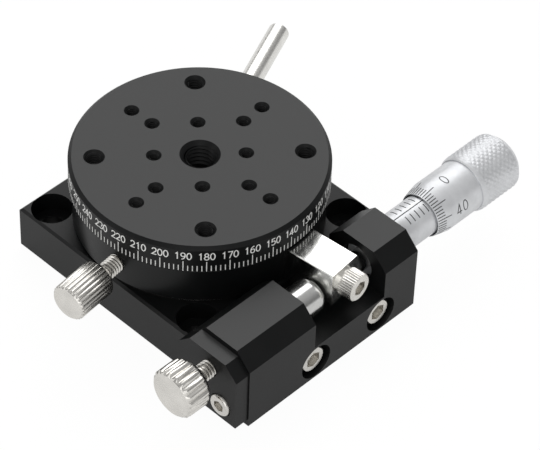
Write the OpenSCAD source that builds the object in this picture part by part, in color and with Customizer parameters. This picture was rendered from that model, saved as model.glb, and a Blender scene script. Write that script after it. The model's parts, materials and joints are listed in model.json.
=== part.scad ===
// Rotation stage: coarse turn by hand, fine turn by a micrometer and a tangent lever.
// Z is the turning axis and the base stands on Z = 0. The drive block is on the +X side,
// and its micrometer points along +Y. Sizes are in millimetres, angles in degrees.

/* [Base] */
// Distance from the mounting holes to the base plate's sides
base_edge = 3.55; // [3.4:0.05:5]
// Thickness of the base plate
base_t = 8.2; // [7.8:0.1:9.2]
// Distance between the base mounting holes
base_hole_pitch = 32; // [31:0.1:32.4]
// Clearance hole for a mounting screw
base_hole_d = 3.4; // [3.2:0.1:3.8]
// Counterbore for the mounting screw's head
base_cbore_d = 6.5; // [6:0.1:6.6]
// Depth of that counterbore
base_cbore_depth = 3.4; // [3:0.1:4.4]
// Chamfer round the base plate
base_chamfer = 0.4; // [0.2:0.1:0.8]

/* [Bearing] */
// Outer diameter of the ball bearing
bearing_od = 27; // [26.6:0.1:27.6]
// Bore of the ball bearing
bearing_id = 20; // [19.6:0.1:20.2]
// Width of the ball bearing
bearing_w = 4; // [3.8:0.1:4.2]
// Radial thickness of each race
race_wall = 1.2; // [1.1:0.05:1.3]
// Ball diameter
ball_d = 2; // [1.9:0.05:2.1]
// Number of balls
ball_count = 17; // [12:1:18]
// Height of the bearing seat above the underside
bearing_floor = 3; // [2.6:0.1:3.2]
// Width of the lip under the outer race
seat_lip = 0.9; // [0.7:0.1:1.1]

/* [Fine ring] */
// Outer diameter of the fine ring
ring_d = 39; // [38.2:0.1:39]
// Height of the fine ring
ring_h = 6.5; // [6.2:0.1:7.5]
// Space between base plate and fine ring
ring_gap = 0.4; // [0.3:0.05:0.6]
// Diameter of the spigot that the fine ring turns on
spigot_d = 30; // [29.6:0.1:31]
// Height of that spigot above the base plate
spigot_h = 2.2; // [1.8:0.1:2.4]
// Height of the clamp screw and the lever screw above the ring's underside
ring_screw_z = 3.6; // [3.6:0.05:4]
// Edge chamfer of the fine ring
ring_chamfer = 0.25; // [0.1:0.05:0.4]

/* [Table] */
// Diameter of the table
table_d = 40; // [39.6:0.1:42]
// Thickness of the table's rim
rim_t = 5; // [4.8:0.1:6]
// Space between fine ring and table
table_gap = 0.2; // [0.15:0.05:0.4]
// Chamfer of the table's upper edge
rim_chamfer = 0.55; // [0.3:0.05:0.8]
// Diameter of the hub inside the fine ring
hub_d = 26; // [25.6:0.1:26.4]
// How far the table is turned from +X
table_turn = 48.5; // [0:0.5:90]
// Circle of the four larger tapped holes
m3_pcd = 32; // [31:0.1:33]
// Tapping diameter of those holes
m3_tap_d = 2.5; // [2.4:0.05:2.7]
// Spacing of the outer square of small tapped holes
m2_square = 20; // [19.5:0.1:20.5]
// Spacing of the inner grid's outer holes
m2_grid = 14; // [13:0.1:15]
// Tapping diameter of the small holes
m2_tap_d = 1.6; // [1.5:0.05:1.8]
// Depth of the inner grid's holes
m2_depth = 4.6; // [4:0.1:5]
// Tapping diameter of the centre hole
centre_tap_d = 5; // [4.8:0.1:5.4]
// Depth of the centre thread
centre_tap_depth = 8; // [7:0.5:10]
// Plain bore under the centre thread
centre_bore_d = 6.6; // [6.2:0.1:7]
// Countersink at the mouth of each tapped hole
tap_mouth = 0.4; // [0.2:0.05:0.5]

/* [Handle] */
// Diameter of the handle rod
rod_d = 3.4; // [3:0.1:3.6]
// Distance from the axis to the rod's end
rod_reach = 34; // [30:0.5:40]
// Direction of the rod from +X
rod_angle = 113.8; // [100:0.2:130]
// Depth of the rod's axis below the table's face
rod_drop = 3; // [2.6:0.1:3.2]
// Diameter of the rod's screwed stub
rod_stub_d = 2.5; // [2:0.1:2.6]
// Length of that stub in the rim
rod_stub_len = 4.6; // [3.5:0.1:5]

/* [Lever] */
// Width of the tangent lever
lever_w = 6; // [5:0.1:6.4]
// Height of the lever
lever_h = 6.2; // [5.8:0.1:6.3]
// Distance from the axis to the lever's end
lever_reach = 28.2; // [27.5:0.1:28.6]
// Distance from the axis to the lever's seat in the ring
lever_seat = 18.4; // [18:0.1:18.8]
// Angle of the lever from +X as set
lever_angle = 5.5; // [-5.5:0.5:6]
// Thickness of the spring washer
washer_t = 0.45; // [0.3:0.05:0.6]

/* [Clamp screw] */
// Direction of the clamp screw from +X
clamp_angle = -83.8; // [-95:0.2:-80]
// Diameter of the clamp screw's thread
clamp_thread_d = 3; // [2.5:0.1:3]
// Diameter of the clamp screw's knob
clamp_knob_d = 6; // [5.6:0.1:6.6]
// Distance from the axis to the knob's near face
clamp_knob_start = 23.2; // [22.5:0.1:24]
// Length of the knob
clamp_knob_len = 6.8; // [5:0.1:8]
// Flutes round the clamp knob
clamp_flutes = 28; // [16:1:30]
// Length of the brass clamp pad
pad_len = 1.8; // [1.4:0.1:2.2]

/* [Drive block] */
// Width of the drive block
block_w = 11.75; // [11.4:0.05:13]
// Height of the drive block
block_h = 14.3; // [13.9:0.1:14.6]
// Chamfer along the block's upper edges
block_chamfer = 2.7; // [1.5:0.1:2.8]
// Place of the block's plunger end along Y
block_start = -20.4; // [-22:0.1:-20]
// Length of the block
block_len = 35.8; // [35:0.1:37]
// Place of the notch's near wall along Y
notch_start = -6.65; // [-7:0.05:-6.4]
// Width of the notch
notch_w = 15; // [14.6:0.1:16]
// Height of the notch's floor
notch_floor = 6.6; // [6.4:0.1:7]
// Distance between the block's two fixing screws
block_screw_pitch = 14; // [13.5:0.1:14.5]
// Place of the first fixing screw along Y
block_screw_y = -6.2; // [-6.6:0.1:-5.8]
// Height of the fixing screws
block_screw_z = 3.25; // [3.2:0.05:3.4]
// Counterbore of the fixing screws
block_cbore_d = 6; // [5:0.1:6]
// Depth of that counterbore
block_cbore_depth = 3.1; // [2.6:0.1:4]
// Height of the drive line: plunger, lever contact and spindle
drive_z = 10; // [9.8:0.1:10.4]

/* [End plate] */
// Width of the end plate
plate_w = 12; // [11:0.1:12.4]
// Height of the end plate's underside
plate_z = 1.3; // [0.5:0.1:1.5]
// Height of the end plate
plate_h = 12; // [11.5:0.1:12.6]
// Thickness of the end plate
plate_t = 2.55; // [2.2:0.05:3]
// Chamfer of the plate's upper corners
plate_chamfer = 2.3; // [1.5:0.1:2.6]
// How far the plate's centre stands towards the base from the drive line
plate_shift = 0.35; // [0:0.05:0.5]
// Distance between the plate's two screws
plate_screw_pitch = 5.8; // [5.4:0.1:6.2]
// Height of the plate's screws above its underside
plate_screw_z = 2.8; // [2.6:0.1:2.9]
// Depth of the plate's counterbores
plate_cbore_depth = 1.55; // [1.2:0.05:1.7]

/* [Plunger] */
// Diameter of the spring plunger
plunger_d = 5; // [4.6:0.1:5]
// Length of the spring plunger
plunger_len = 10.4; // [9.6:0.1:10.6]
// Radius of the plunger's nose
plunger_nose_r = 3; // [2.8:0.1:4]
// Bore in the plunger for the spring
plunger_bore_d = 3.4; // [3.2:0.1:3.6]
// Depth of that bore
plunger_bore_len = 6.6; // [6:0.1:7]
// Wire of the return spring
spring_wire = 0.4; // [0.3:0.05:0.5]
// Turns of the return spring
spring_turns = 10; // [6:1:12]
// Thickness of the spring seat
seat_t = 0.8; // [0.6:0.1:1]
// Thread of the screw behind the spring seat
lock_thread_d = 3; // [2.5:0.1:3]
// Diameter of its knob
lock_knob_d = 8.1; // [7:0.1:8.4]
// Length of its knob
lock_knob_len = 4.2; // [3.5:0.1:6]
// Gap between end plate and knob
lock_knob_gap = 3.35; // [3.3:0.05:4.5]
// Flutes round this knob
lock_flutes = 20; // [12:1:22]

/* [Micrometer] */
// Spindle diameter
spindle_d = 3.5; // [3:0.1:3.6]
// Radius of the spindle's nose
spindle_nose_r = 6; // [4:0.5:8]
// Diameter of the stem held in the block
stem_d = 6; // [5.6:0.1:6.2]
// Outer diameter of the graduated sleeve
sleeve_d = 6.75; // [6.6:0.05:6.8]
// Wall of the graduated sleeve
sleeve_wall = 0.6; // [0.5:0.05:0.7]
// Length of the graduated sleeve
sleeve_len = 9.6; // [9:0.1:11]
// Distance from block to the thimble's edge
thimble_stand = 7.05; // [6.5:0.05:8]
// Diameter at the thimble's edge
thimble_edge_d = 7.5; // [7.4:0.05:7.8]
// Diameter of the thimble behind its taper
thimble_d = 8.7; // [8.4:0.1:9]
// Length of the taper
thimble_taper = 2.7; // [2:0.1:3.5]
// Length from the thimble's edge to the grip
thimble_plain = 9.45; // [8.5:0.05:10]
// Diameter of the knurled grip
grip_d = 9.5; // [9.2:0.1:10]
// Length of the knurled grip
grip_len = 8; // [6:0.1:10]
// Diameter of the thimble's end cap
cap_d = 6; // [5:0.1:7]

/* [Fits] */
// Radial play of a shaft that turns or slides in a bore
running_play = 0.04; // [0.02:0.01:0.06]
// Radial play of a screw in its thread
thread_play = 0.05; // [0.03:0.01:0.07]
// Radial play of a piece that stays put
seat_play = 0.02; // [0.01:0.01:0.04]
// Gap between pieces that push on each other
contact_gap = 0.05; // [0.04:0.01:0.08]
// Gap between clamp pad and hub
pad_gap = 0.15; // [0.12:0.01:0.2]

/* [Hidden] */
$fn = 64;

black_anodise = "#2b2b2d";
bright_steel = "#c9c9c4";
satin_chrome = "#d4d6d8";
brass = "#b8974a";

slack = 0.01;                                   // how far a cut runs past the face it opens
base_w = base_hole_pitch + 2 * base_edge;       // side of the square base plate
base_top = base_t;
ring_bottom = base_top + ring_gap;
ring_top = ring_bottom + ring_h;
rim_bottom = ring_top + table_gap;
table_top = rim_bottom + rim_t;
spigot_top = base_top + spigot_h;
lip_clear = 0.2;                                // space over the spigot, and under the ring's lip
ring_lip_z = spigot_top + lip_clear;
bearing_top = bearing_floor + bearing_w;
bearing_mid = bearing_floor + bearing_w / 2;
pitch_r = (bearing_od + bearing_id) / 4;
inner_race_r = bearing_id / 2 + race_wall;
outer_race_r = bearing_od / 2 - race_wall;
groove_r = ball_d / 2 + 0.03;
journal_end = 1;                                // height of the hub's lower end
nut_t = bearing_floor - journal_end - 0.4;
hub_thread_r = bearing_id / 2 - 0.4;
screw_z = ring_bottom + ring_screw_z;
rod_z = table_top - rod_drop;

m25_d = 2.5;                                    // cap screws that hold the block and the lever
m25_head_d = 4.5;
m25_head_h = 2.5;
m25_hex = 2;
m2_d = 2;                                       // cap screws that hold the end plate
m2_head_d = 3.8;
m2_head_h = 2;
m2_hex = 1.5;
set_screw_d = 2.5;
set_screw_len = 4.2;
set_screw_hex = 1.27;

block_x = base_w / 2;                           // the block stands against the base's side
block_face = block_x + block_w;
drive_x = block_x + block_w / 2;
block_end = block_start + block_len;
notch_end = notch_start + notch_w;
block_screw_len = block_w - block_cbore_depth + 5.5;
plate_x = drive_x - plate_shift;
plate_face = block_start - plate_t;
plate_top_z = plate_z + plate_h;

lever_top = ring_top - 0.1;
lever_z = lever_top - lever_h;
half_lever = lever_w / 2;
// Where a round nose of radius r meets the lever's side, on the drive line
function side_contact(r, side) =
    drive_x * tan(lever_angle) + side * ((half_lever + r) / cos(lever_angle) - r);
plunger_tip = side_contact(plunger_nose_r, -1) - contact_gap;
plunger_tail = plunger_tip - plunger_len;
spindle_tip = side_contact(spindle_nose_r, 1) + contact_gap;

seat_back = block_start + 0.1;
seat_front = seat_back + seat_t;
spring_start = seat_front + contact_gap;
spring_end = plunger_tail + plunger_bore_len - contact_gap;
spring_r = plunger_bore_d / 2 - spring_wire / 2 - 0.2;
lock_tip = seat_back - contact_gap;
lock_knob_y = plate_face - lock_knob_gap;

pad_start = hub_d / 2 + pad_gap;
clamp_tip = pad_start + pad_len + contact_gap;

barrel_r = sleeve_d / 2 - sleeve_wall - seat_play;
barrel_end = block_end + 15;
nut_start = barrel_end - 3;
thimble_edge = block_end + thimble_stand;
grip_start = thimble_edge + thimble_plain;
thimble_end = grip_start + grip_len;
thimble_bore_r = sleeve_d / 2 + 0.07;
thimble_floor = 2.4;                            // thickness of the thimble's closed end
spindle_end = thimble_end - thimble_floor + 1.2;

// ---- shared shapes ----

// A box whose upper and lower edges are chamfered, standing on z = 0
module chamfered_plate(w, t, c) {
    module side_view() {
        polygon([[-w / 2 + c, 0], [w / 2 - c, 0], [w / 2, c], [w / 2, t - c],
            [w / 2 - c, t], [-w / 2 + c, t], [-w / 2, t - c], [-w / 2, c]]);
    }
    intersection() {
        translate([0, w / 2, 0]) rotate([90, 0, 0]) linear_extrude(w) side_view();
        rotate([0, 0, 90]) translate([0, w / 2, 0]) rotate([90, 0, 0]) linear_extrude(w) side_view();
    }
}

// A washer or sleeve between two heights
module tube(r_out, r_in, z0, z1) {
    translate([0, 0, z0]) difference() {
        cylinder(r = r_out, h = z1 - z0);
        translate([0, 0, -slack]) cylinder(r = r_in, h = z1 - z0 + 2 * slack);
    }
}

// Turns what stands along +Z so that it lies along +X, from x = start
module along_x(start) {
    translate([start, 0, 0]) rotate([0, 90, 0]) children();
}

// Turns what stands along +Z so that it lies along +Y, on the drive line, from y = start
module on_drive_line(start) {
    translate([drive_x, start, drive_z]) rotate([-90, 0, 0]) children();
}

// Socket head cap screw: the head's seat is at z = 0, the shank runs to -len
module cap_screw(d, head_d, head_h, hex, len) {
    bevel = head_d * 0.06;
    difference() {
        rotate_extrude() polygon([[0, -len], [d / 2 - 0.2, -len], [d / 2, -len + 0.2], [d / 2, 0],
            [head_d / 2, 0], [head_d / 2, head_h - bevel], [head_d / 2 - bevel, head_h], [0, head_h]]);
        translate([0, 0, head_h * 0.45]) cylinder(d = hex / cos(30), h = head_h, $fn = 6);
    }
}

// Straight-fluted knob from z = 0 to z = len, its outer end at len
module fluted_knob(d, len, flutes, depth, bevel) {
    intersection() {
        linear_extrude(len) difference() {
            circle(d = d);
            for (i = [0 : flutes - 1])
                rotate(i * 360 / flutes) translate([d / 2 + depth * 0.35, 0]) circle(r = depth * 1.35, $fn = 24);
        }
        rotate_extrude() polygon([[0, 0], [d / 2 - bevel, 0], [d / 2, bevel], [d / 2, len - bevel],
            [d / 2 - bevel, len], [0, len]]);
    }
}

// A tapped hole down from z, with a countersunk mouth
module tapped_hole(x, y, z, d, depth) {
    translate([x, y, z - depth]) cylinder(d = d, h = depth + slack);
    translate([x, y, z - tap_mouth]) cylinder(d1 = d, d2 = d + 2 * tap_mouth + 2 * slack, h = tap_mouth + slack);
}

// ---- base and bearing ----

module base_plate() {
    color(black_anodise) difference() {
        union() {
            chamfered_plate(base_w, base_t, base_chamfer);
            translate([0, 0, base_t - 1]) cylinder(d = spigot_d, h = spigot_h + 1);
        }
        translate([0, 0, -slack]) cylinder(r = bearing_od / 2 - seat_lip, h = base_t);
        translate([0, 0, bearing_floor]) cylinder(r = bearing_od / 2, h = base_t + spigot_h);
        for (x = [-1, 1], y = [-1, 1]) translate([x * base_hole_pitch / 2, y * base_hole_pitch / 2, 0]) {
            translate([0, 0, -slack]) cylinder(d = base_hole_d, h = base_t + 1);
            translate([0, 0, base_t - base_cbore_depth]) cylinder(d = base_cbore_d, h = base_t);
        }
        for (i = [0, 1]) translate([0, block_screw_y + i * block_screw_pitch, block_screw_z])
            along_x(block_x - 6) cylinder(d = m25_d + 2 * seat_play, h = 6 + slack);
    }
}

module bearing_outer_ring() {
    color(bright_steel) rotate_extrude() difference() {
        translate([outer_race_r, bearing_floor])
            square([bearing_od / 2 - seat_play - outer_race_r, bearing_w]);
        translate([pitch_r, bearing_mid]) circle(r = groove_r);
    }
}

module bearing_inner_ring() {
    color(bright_steel) rotate_extrude() difference() {
        translate([bearing_id / 2, bearing_floor]) square([race_wall, bearing_w]);
        translate([pitch_r, bearing_mid]) circle(r = groove_r);
    }
}

module balls_at_pitch(r) {
    for (i = [0 : ball_count - 1]) rotate(i * 360 / ball_count)
        translate([pitch_r, 0, bearing_mid]) sphere(r = r);
}

module bearing_balls() {
    color(bright_steel) balls_at_pitch(ball_d / 2);
}

module bearing_cage() {
    cage_play = 0.15;
    cage_h = bearing_w * 0.75;
    color(brass) difference() {
        tube(outer_race_r - cage_play, inner_race_r + cage_play, bearing_mid - cage_h / 2,
            bearing_mid + cage_h / 2);
        balls_at_pitch(ball_d / 2 + 0.06);
    }
}

module bearing_retainer() {
    color(bright_steel) difference() {
        tube(bearing_od / 2 - seat_play, outer_race_r + 0.1, bearing_top, base_top);
        for (a = [0, 180]) rotate(a) translate([outer_race_r, -0.6, base_top - 0.5])
            cube([bearing_od / 2, 1.2, 1]);
    }
}

module ring_washer() {
    color("ivory") tube(ring_d / 2 - 0.6, spigot_d / 2 + 0.15, base_top, ring_bottom - contact_gap);
}

// ---- fine ring with lever and clamp ----

module fine_ring() {
    c = ring_chamfer;
    color(black_anodise) difference() {
        rotate_extrude() polygon([[hub_d / 2 + running_play, ring_lip_z], [hub_d / 2 + running_play, ring_top],
            [ring_d / 2 - c, ring_top], [ring_d / 2, ring_top - c], [ring_d / 2, ring_bottom + c],
            [ring_d / 2 - c, ring_bottom], [spigot_d / 2 + running_play, ring_bottom],
            [spigot_d / 2 + running_play, ring_lip_z]]);
        rotate(lever_angle) {
            translate([lever_seat, -half_lever - seat_play, ring_bottom - slack])
                cube([ring_d, lever_w + 2 * seat_play, ring_h + 2 * slack]);
            translate([0, 0, screw_z]) along_x(lever_seat - 2.6) cylinder(d = m25_d + 2 * seat_play, h = 3);
        }
        rotate(clamp_angle) translate([0, 0, screw_z]) along_x(hub_d / 2 - 1)
            cylinder(d = clamp_thread_d, h = ring_d);
    }
}

module lever() {
    c = 0.15;
    color(satin_chrome) rotate(lever_angle) difference() {
        translate([lever_seat, 0, 0]) rotate([90, 0, 90]) linear_extrude(lever_reach - lever_seat)
            polygon([[-half_lever + c, lever_z], [half_lever - c, lever_z], [half_lever, lever_z + c],
                [half_lever, lever_top - c], [half_lever - c, lever_top], [-half_lever + c, lever_top],
                [-half_lever, lever_top - c], [-half_lever, lever_z + c]]);
        translate([0, 0, screw_z]) along_x(lever_seat - 1) cylinder(d = m25_d + 0.3, h = lever_reach);
    }
}

module lever_washer() {
    color(bright_steel) rotate(lever_angle) translate([0, 0, screw_z]) along_x(lever_reach) difference() {
        tube(m25_head_d / 2 - 0.1, m25_d / 2 + 0.1, 0, washer_t);
        translate([0, -0.25, -slack]) cube([m25_head_d, 0.5, washer_t + 2 * slack]);
    }
}

module lever_screw() {
    color(bright_steel) rotate(lever_angle) translate([0, 0, screw_z]) along_x(lever_reach + washer_t)
        cap_screw(m25_d, m25_head_d, m25_head_h, m25_hex, lever_reach + washer_t - lever_seat + 2.2);
}

module clamp_pad() {
    color(brass) rotate(clamp_angle) translate([0, 0, screw_z]) along_x(pad_start)
        cylinder(d = clamp_thread_d - 4 * thread_play, h = pad_len);
}

module clamp_screw() {
    shank_r = clamp_thread_d / 2 - thread_play;
    color(bright_steel) rotate(clamp_angle) translate([0, 0, screw_z]) {
        along_x(clamp_tip) rotate_extrude() polygon([[0, 0], [shank_r - 0.3, 0], [shank_r, 0.3],
            [shank_r, clamp_knob_start - clamp_tip + 1], [0, clamp_knob_start - clamp_tip + 1]]);
        along_x(clamp_knob_start) fluted_knob(clamp_knob_d, clamp_knob_len, clamp_flutes, 0.16, 0.45);
    }
}

// ---- table ----

module table() {
    c = rim_chamfer;
    grid = m2_grid / 2;
    color(black_anodise) difference() {
        rotate_extrude() polygon([[0, journal_end], [hub_thread_r, journal_end], [hub_thread_r, bearing_floor],
            [bearing_id / 2 - seat_play, bearing_floor], [bearing_id / 2 - seat_play, bearing_top],
            [inner_race_r, bearing_top], [inner_race_r, ring_lip_z], [hub_d / 2, ring_lip_z],
            [hub_d / 2, rim_bottom], [table_d / 2 - 0.2, rim_bottom], [table_d / 2, rim_bottom + 0.2],
            [table_d / 2, table_top - c], [table_d / 2 - c, table_top], [0, table_top]]);
        tapped_hole(0, 0, table_top, centre_tap_d, centre_tap_depth);
        translate([0, 0, table_top - 0.65]) cylinder(d1 = centre_tap_d, d2 = centre_tap_d + 1.3, h = 0.65 + slack);
        cylinder(d = centre_bore_d, h = table_top - centre_tap_depth);
        rotate(table_turn) {
            for (a = [0 : 90 : 270]) rotate(a) {
                tapped_hole(m3_pcd / 2, 0, table_top, m3_tap_d, rim_t + 1);
                tapped_hole(m2_square / 2, m2_square / 2, table_top, m2_tap_d, rim_t + 1);
                tapped_hole(grid, 0, table_top, m2_tap_d, m2_depth);
                tapped_hole(grid, grid, table_top, m2_tap_d, m2_depth);
            }
        }
        rotate(rod_angle) translate([0, 0, rod_z]) along_x(table_d / 2 - rod_stub_len - 0.3)
            cylinder(d = rod_stub_d + 2 * seat_play, h = rod_stub_len + 1);
    }
}

module spindle_nut() {
    color(bright_steel) difference() {
        tube(inner_race_r + 0.2, hub_thread_r + seat_play, bearing_floor - nut_t, bearing_floor);
        for (a = [0, 180]) rotate(a) translate([(inner_race_r + hub_thread_r) / 2, 0, bearing_floor - nut_t - slack])
            cylinder(d = 1, h = 1);
    }
}

module handle_rod() {
    end_bevel = 0.3;
    color(satin_chrome) rotate(rod_angle) translate([0, 0, rod_z]) along_x(table_d / 2 - rod_stub_len)
        rotate_extrude() polygon([[0, 0], [rod_stub_d / 2 - 0.2, 0], [rod_stub_d / 2, 0.2],
            [rod_stub_d / 2, rod_stub_len], [rod_d / 2, rod_stub_len],
            [rod_d / 2, rod_reach - table_d / 2 + rod_stub_len - end_bevel],
            [rod_d / 2 - end_bevel, rod_reach - table_d / 2 + rod_stub_len],
            [0, rod_reach - table_d / 2 + rod_stub_len]]);
}

// ---- drive block ----

module block_section() {
    c = block_chamfer;
    polygon([[block_x, 0], [block_face, 0], [block_face, block_h - c], [block_face - c, block_h],
        [block_x + c, block_h], [block_x, block_h - c]]);
}

module side_block() {
    color(black_anodise) difference() {
        translate([0, block_end, 0]) rotate([90, 0, 0]) linear_extrude(block_len) block_section();
        translate([block_x - 1, notch_start, notch_floor]) cube([block_w + 2, notch_w, block_h]);
        on_drive_line(block_start - 1) cylinder(r = plunger_d / 2 + running_play, h = notch_start - block_start + 2);
        on_drive_line(notch_end - 1) cylinder(r = stem_d / 2 + seat_play, h = block_end - notch_end + 2);
        for (i = [0, 1]) translate([0, block_screw_y + i * block_screw_pitch, block_screw_z]) {
            along_x(block_x - 1) cylinder(d = m25_d + 0.3, h = block_w);
            along_x(block_face - block_cbore_depth) cylinder(d = block_cbore_d, h = block_cbore_depth + 1);
        }
        for (s = [-1, 1]) translate([plate_x + s * plate_screw_pitch / 2, 0, plate_z + plate_screw_z])
            translate([0, block_start - slack, 0]) rotate([-90, 0, 0]) cylinder(d = m2_d + 2 * seat_play, h = 5.2);
        translate([drive_x, (notch_end + block_end) / 2, -slack])
            cylinder(d = set_screw_d + 2 * seat_play, h = drive_z);
    }
}

module side_block_screws() {
    color(bright_steel) for (i = [0, 1])
        translate([0, block_screw_y + i * block_screw_pitch, block_screw_z])
            along_x(block_face - block_cbore_depth)
                cap_screw(m25_d, m25_head_d, m25_head_h, m25_hex, block_screw_len);
}

module end_plate() {
    c = plate_chamfer;
    half = plate_w / 2;
    color(black_anodise) difference() {
        translate([plate_x, block_start, 0]) rotate([90, 0, 0]) linear_extrude(plate_t)
            polygon([[-half, plate_z], [half, plate_z], [half, plate_top_z - c], [half - c, plate_top_z],
                [-half + c, plate_top_z], [-half, plate_top_z - c]]);
        on_drive_line(plate_face - 1) cylinder(d = lock_thread_d, h = plate_t + 2);
        for (s = [-1, 1]) translate([plate_x + s * plate_screw_pitch / 2, 0, plate_z + plate_screw_z]) {
            translate([0, plate_face - 1, 0]) rotate([-90, 0, 0]) cylinder(d = m2_d + 0.3, h = plate_t + 2);
            translate([0, plate_face - 1, 0]) rotate([-90, 0, 0])
                cylinder(d = m2_head_d + 0.2, h = plate_cbore_depth + 1);
        }
    }
}

module end_plate_screws() {
    color(bright_steel) for (s = [-1, 1])
        translate([plate_x + s * plate_screw_pitch / 2, plate_face + plate_cbore_depth, plate_z + plate_screw_z])
            rotate([90, 0, 0]) cap_screw(m2_d, m2_head_d, m2_head_h, m2_hex, plate_t - plate_cbore_depth + 5);
}

// ---- plunger side ----

module plunger() {
    r = plunger_d / 2;
    cap = plunger_nose_r - sqrt(pow(plunger_nose_r, 2) - pow(r, 2));
    color(satin_chrome) on_drive_line(plunger_tail) difference() {
        union() {
            cylinder(r = r, h = plunger_len - cap);
            intersection() {
                cylinder(r = r, h = plunger_len + 1);
                translate([0, 0, plunger_len - plunger_nose_r]) sphere(r = plunger_nose_r);
            }
        }
        translate([0, 0, -slack]) cylinder(d = plunger_bore_d, h = plunger_bore_len + slack);
    }
}

// Centre line of the spring, from t = 0 to t = 1, with its end turns closed up
function spring_point(t) = [spring_r * cos(360 * spring_turns * t), spring_r * sin(360 * spring_turns * t),
    spring_wire / 2 + (spring_end - spring_start - spring_wire) * (t + 0.45 * sin(360 * t) / (2 * PI))];

module plunger_spring() {
    steps = spring_turns * 14;
    sides = 6;
    points = [for (i = [0 : steps], k = [0 : sides - 1])
        let (t = i / steps, p = spring_point(t), a = 360 * spring_turns * t, b = 360 * k / sides,
            out = spring_wire / 2 * cos(b), up = spring_wire / 2 * sin(b))
        [p[0] + out * cos(a), p[1] + out * sin(a), p[2] + up]];
    skin = [for (i = [0 : steps - 1], k = [0 : sides - 1])
        [i * sides + k, i * sides + (k + 1) % sides, (i + 1) * sides + (k + 1) % sides, (i + 1) * sides + k]];
    first = [for (k = [sides - 1 : -1 : 0]) k];
    last = [for (k = [0 : sides - 1]) steps * sides + k];
    color(bright_steel) on_drive_line(spring_start) polyhedron(points, concat(skin, [first, last]));
}

module spring_seat() {
    color(brass) on_drive_line(seat_back) union() {
        cylinder(r = plunger_d / 2 - 0.2, h = seat_t);
        cylinder(r = spring_r - spring_wire / 2 - 0.1, h = seat_t + 0.7);
    }
}

module lock_screw() {
    shank_r = lock_thread_d / 2 - thread_play;
    color(bright_steel) union() {
        on_drive_line(lock_knob_y - 1) rotate_extrude() polygon([[0, 0], [shank_r, 0],
            [shank_r, lock_tip - lock_knob_y + 0.7], [shank_r - 0.3, lock_tip - lock_knob_y + 1],
            [0, lock_tip - lock_knob_y + 1]]);
        on_drive_line(lock_knob_y) mirror([0, 0, 1])
            fluted_knob(lock_knob_d, lock_knob_len, lock_flutes, 0.3, 0.5);
    }
}

// ---- micrometer ----

module micrometer_barrel() {
    color(satin_chrome) on_drive_line(0) difference() {
        union() {
            translate([0, 0, notch_end]) cylinder(d = stem_d, h = block_end - notch_end);
            translate([0, 0, block_end]) cylinder(r = barrel_r, h = barrel_end - block_end);
        }
        translate([0, 0, notch_end - 1]) cylinder(r = spindle_d / 2 + running_play, h = barrel_end);
    }
}

module scale_sleeve() {
    color(satin_chrome) on_drive_line(0)
        tube(sleeve_d / 2, sleeve_d / 2 - sleeve_wall, block_end, block_end + sleeve_len);
}

module adjusting_nut() {
    color(bright_steel) on_drive_line(0) difference() {
        tube(sleeve_d / 2 - 0.05, barrel_r + seat_play, nut_start, barrel_end);
        translate([-sleeve_d, -0.3, barrel_end - 1]) cube([2 * sleeve_d, 0.6, 2]);
    }
}

module micrometer_set_screw() {
    top = drive_z - stem_d / 2 - seat_play;
    color(bright_steel) translate([drive_x, (notch_end + block_end) / 2, top - set_screw_len]) difference() {
        cylinder(d = set_screw_d, h = set_screw_len);
        translate([0, 0, -slack]) cylinder(d = set_screw_hex / cos(30), h = 1.4, $fn = 6);
    }
}

module spindle() {
    r = spindle_d / 2;
    len = spindle_end - spindle_tip;
    color(bright_steel) on_drive_line(spindle_tip) intersection() {
        cylinder(r = r, h = len);
        union() {
            translate([0, 0, spindle_nose_r]) sphere(r = spindle_nose_r);
            translate([0, 0, 1]) cylinder(r = r, h = len);
        }
    }
}

module thimble() {
    e = thimble_edge_d / 2;
    color(satin_chrome) on_drive_line(0) difference() {
        rotate_extrude() polygon([[0, thimble_edge], [e, thimble_edge],
            [thimble_d / 2, thimble_edge + thimble_taper], [thimble_d / 2, grip_start],
            [grip_d / 2 - 0.2, grip_start], [grip_d / 2, grip_start + 0.35],
            [grip_d / 2, thimble_end - 0.9], [grip_d / 2 - 0.8, thimble_end], [0, thimble_end]]);
        translate([0, 0, thimble_edge - 1])
            cylinder(r = thimble_bore_r, h = thimble_end - thimble_edge - thimble_floor + 1);
        translate([0, 0, thimble_edge]) cylinder(r = spindle_d / 2 + seat_play, h = spindle_end - thimble_edge);
        translate([0, 0, spindle_end - slack]) cylinder(d = cap_d, h = thimble_floor);
    }
}

module thimble_cap() {
    cap_t = thimble_end - spindle_end - 0.25;
    color(satin_chrome) on_drive_line(spindle_end) rotate_extrude()
        polygon([[0, 0], [cap_d / 2 - seat_play, 0], [cap_d / 2 - seat_play, cap_t - 0.2],
            [cap_d / 2 - 0.25, cap_t], [0, cap_t]]);
}

base_plate();
bearing_outer_ring();
bearing_retainer();
ring_washer();
side_block();
side_block_screws();
end_plate();
end_plate_screws();
micrometer_barrel();
scale_sleeve();
adjusting_nut();
micrometer_set_screw();
plunger_spring();
fine_ring();
lever();
lever_washer();
lever_screw();
clamp_pad();
clamp_screw();
table();
bearing_inner_ring();
spindle_nut();
handle_rod();
bearing_cage();
bearing_balls();
plunger();
spring_seat();
lock_screw();
spindle();
thimble();
thimble_cap();
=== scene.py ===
import json
import math

import bmesh
import bpy
from mathutils import Matrix, Vector


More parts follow.
